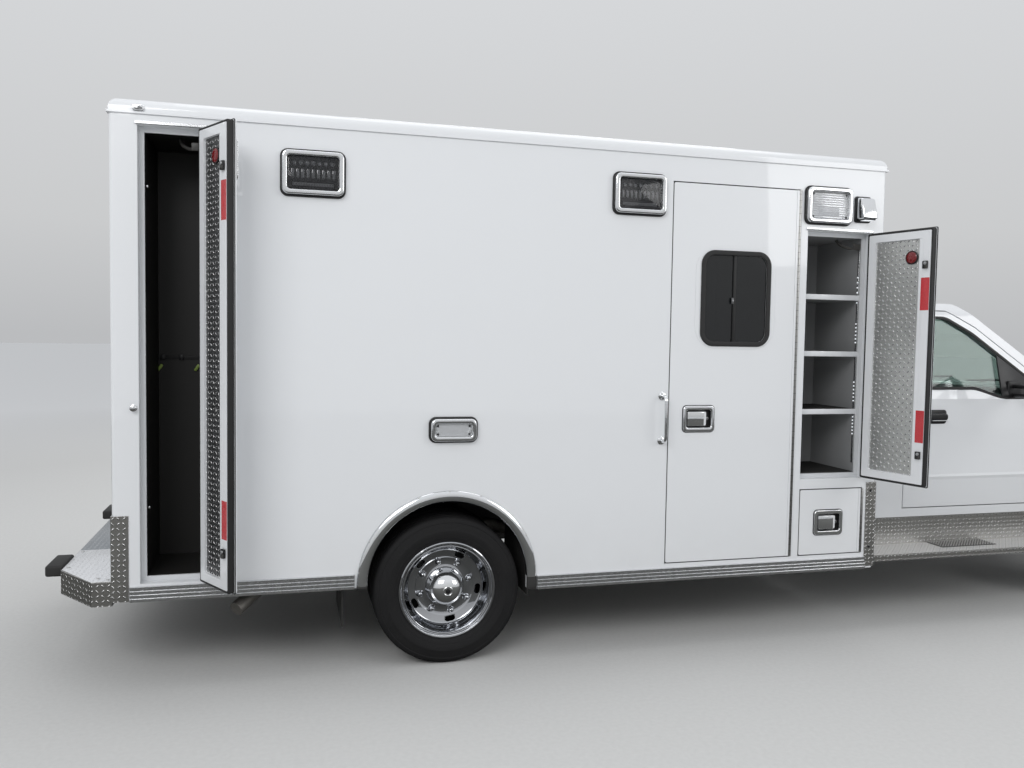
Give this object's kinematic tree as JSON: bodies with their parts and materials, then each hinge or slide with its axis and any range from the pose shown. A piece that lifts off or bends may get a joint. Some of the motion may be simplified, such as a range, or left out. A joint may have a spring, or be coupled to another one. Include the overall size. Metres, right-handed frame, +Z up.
{
  "type": "ambulance",
  "caption": "Box-bodied ambulance on a two-door truck chassis: white module with side lockers, entry door, lamps, tread-plate step and chrome wheels; two locker doors stand open.",
  "frame": {"origin": "on the ground under the middle of the overall length, on the centreline", "axes": "+X forward, +Y to the driver's left, +Z up"},
  "size_m": [7.932, 3.2004, 2.9049],
  "materials": {
    "white_paint": "gloss",
    "frame_black": "satin",
    "engine_metal": "rough",
    "exhaust_steel": "satin",
    "black_plastic": "matte",
    "grey_plastic": "matte",
    "floor_metal": "satin",
    "locker_lining": "satin",
    "polished_aluminium": "polished",
    "bright_chrome": "mirror",
    "tread_plate": "embossed",
    "black_rubber": "matte",
    "lamp_lens": "gloss",
    "tinted_glass": "gloss",
    "seat_fabric": "woven",
    "cabinet_white": "satin",
    "tyre_rubber": "matte"
  },
  "bodies": {
    "chassis": {"frame_rails": "frame_black", "engine": "engine_metal", "front_axle": "frame_black", "rear_axle": "frame_black", "exhaust": "exhaust_steel", "fuel_tank": "black_plastic", "body_floor": "floor_metal", "right_wall": "white_paint", "left_wall": "white_paint", "front_wall": "white_paint", "rear_wall": "white_paint", "roof": "white_paint", "right_lockers": "locker_lining", "left_lockers": "locker_lining", "rub_rails": "polished_aluminium", "arch_trims": "bright_chrome", "corner_guards": "tread_plate", "rear_step": "tread_plate", "rubber_pieces": "black_rubber", "bright_fittings": "bright_chrome", "lenses": "lamp_lens", "cab_shell": "white_paint", "cab_panes": "tinted_glass", "cab_seats": "seat_fabric", "dashboard": "grey_plastic", "fenders": "white_paint", "grille": "black_plastic", "front_bumper": "bright_chrome", "running_boards": "tread_plate", "room_fittings": "cabinet_white"},
    "right_rear_door": {"right_rear_door": "white_paint"},
    "right_front_door": {"right_front_door": "white_paint"},
    "right_lower_door": {"right_lower_door": "white_paint"},
    "left_front_door": {"left_front_door": "white_paint"},
    "left_middle_door": {"left_middle_door": "white_paint"},
    "left_rear_door": {"left_rear_door": "white_paint"},
    "entry_door": {"entry_door": "white_paint", "entry_window": "tinted_glass"},
    "rear_door_right": {"rear_door_right": "white_paint", "rear_window_right": "tinted_glass"},
    "rear_door_left": {"rear_door_left": "white_paint", "rear_window_left": "tinted_glass"},
    "cab_door_right": {"cab_door_right": "white_paint", "cab_window_right": "tinted_glass", "mirror_right": "black_plastic"},
    "cab_door_left": {"cab_door_left": "white_paint", "cab_window_left": "tinted_glass", "mirror_left": "black_plastic"},
    "hood": {"hood": "white_paint"},
    "steering_left": {"knuckle_left": "frame_black"},
    "front_wheel_left": {"front_tyre_left": "tyre_rubber", "front_rim_left": "bright_chrome"},
    "rear_wheels_left": {"rear_tyres_left": "tyre_rubber", "rear_rims_left": "bright_chrome"},
    "steering_right": {"knuckle_right": "frame_black"},
    "front_wheel_right": {"front_tyre_right": "tyre_rubber", "front_rim_right": "bright_chrome"},
    "rear_wheels_right": {"rear_tyres_right": "tyre_rubber", "rear_rims_right": "bright_chrome"}
  },
  "joints": [
    {"name": "right_rear_door_hinge", "type": "hinge", "parent": "chassis", "child": "right_rear_door", "pos_m": [-3.134, -1.2115, 1.2], "axis": [0, 0, 1], "range_deg": [-120, 0]},
    {"name": "right_front_door_hinge", "type": "hinge", "parent": "chassis", "child": "right_front_door", "pos_m": [0.675, -1.2115, 1.2], "axis": [0, 0, 1], "range_deg": [-106, 0]},
    {"name": "right_lower_door_hinge", "type": "hinge", "parent": "chassis", "child": "right_lower_door", "pos_m": [0.675, -1.2115, 1.2], "axis": [0, 0, 1], "range_deg": [0, 106]},
    {"name": "left_front_door_hinge", "type": "hinge", "parent": "chassis", "child": "left_front_door", "pos_m": [0.675, 1.2115, 1.2], "axis": [0, 0, -1], "range_deg": [0, 106]},
    {"name": "left_middle_door_hinge", "type": "hinge", "parent": "chassis", "child": "left_middle_door", "pos_m": [-0.606, 1.2115, 1.2], "axis": [0, 0, -1], "range_deg": [0, 106]},
    {"name": "left_rear_door_hinge", "type": "hinge", "parent": "chassis", "child": "left_rear_door", "pos_m": [-2.766, 1.2115, 1.2], "axis": [0, 0, -1], "range_deg": [0, 106]},
    {"name": "entry_door_hinge", "type": "hinge", "parent": "chassis", "child": "entry_door", "pos_m": [0.18, -1.2115, 1.2], "axis": [0, 0, 1], "range_deg": [0, 105]},
    {"name": "rear_door_right_hinge", "type": "hinge", "parent": "chassis", "child": "rear_door_right", "pos_m": [-3.586, -0.635, 1.2], "axis": [0, 0, 1], "range_deg": [0, 110]},
    {"name": "rear_door_left_hinge", "type": "hinge", "parent": "chassis", "child": "rear_door_left", "pos_m": [-3.586, 0.635, 1.2], "axis": [0, 0, -1], "range_deg": [0, 110]},
    {"name": "cab_door_right_hinge", "type": "hinge", "parent": "chassis", "child": "cab_door_right", "pos_m": [2.2245, -1.016, 1.2], "axis": [0, 0, 1], "range_deg": [0, 65]},
    {"name": "cab_door_left_hinge", "type": "hinge", "parent": "chassis", "child": "cab_door_left", "pos_m": [2.2245, 1.016, 1.2], "axis": [0, 0, -1], "range_deg": [0, 65]},
    {"name": "hood_hinge", "type": "hinge", "parent": "chassis", "child": "hood", "pos_m": [2.578, 0, 1.472], "axis": [0, -1, 0], "range_deg": [0, 50]},
    {"name": "steer_left", "type": "hinge", "parent": "chassis", "child": "steering_left", "pos_m": [2.996, 0.8, 0.405], "axis": [0, 0, 1], "range_deg": [-32, 32]},
    {"name": "front_spin_left", "type": "hinge", "parent": "steering_left", "child": "front_wheel_left", "pos_m": [2.996, 0.92, 0.405], "axis": [0, 1, 0], "continuous": true},
    {"name": "rear_spin_left", "type": "hinge", "parent": "chassis", "child": "rear_wheels_left", "pos_m": [-1.906, 0.945, 0.405], "axis": [0, 1, 0], "continuous": true},
    {"name": "steer_right", "type": "hinge", "parent": "chassis", "child": "steering_right", "pos_m": [2.996, -0.8, 0.405], "axis": [0, 0, 1], "range_deg": [-32, 32]},
    {"name": "front_spin_right", "type": "hinge", "parent": "steering_right", "child": "front_wheel_right", "pos_m": [2.996, -0.92, 0.405], "axis": [0, 1, 0], "continuous": true},
    {"name": "rear_spin_right", "type": "hinge", "parent": "chassis", "child": "rear_wheels_right", "pos_m": [-1.906, -0.945, 0.405], "axis": [0, 1, 0], "continuous": true}
  ],
  "couplings": [
    {"joint": "steer_right", "follows": "steer_left", "ratio": 1}
  ]
}
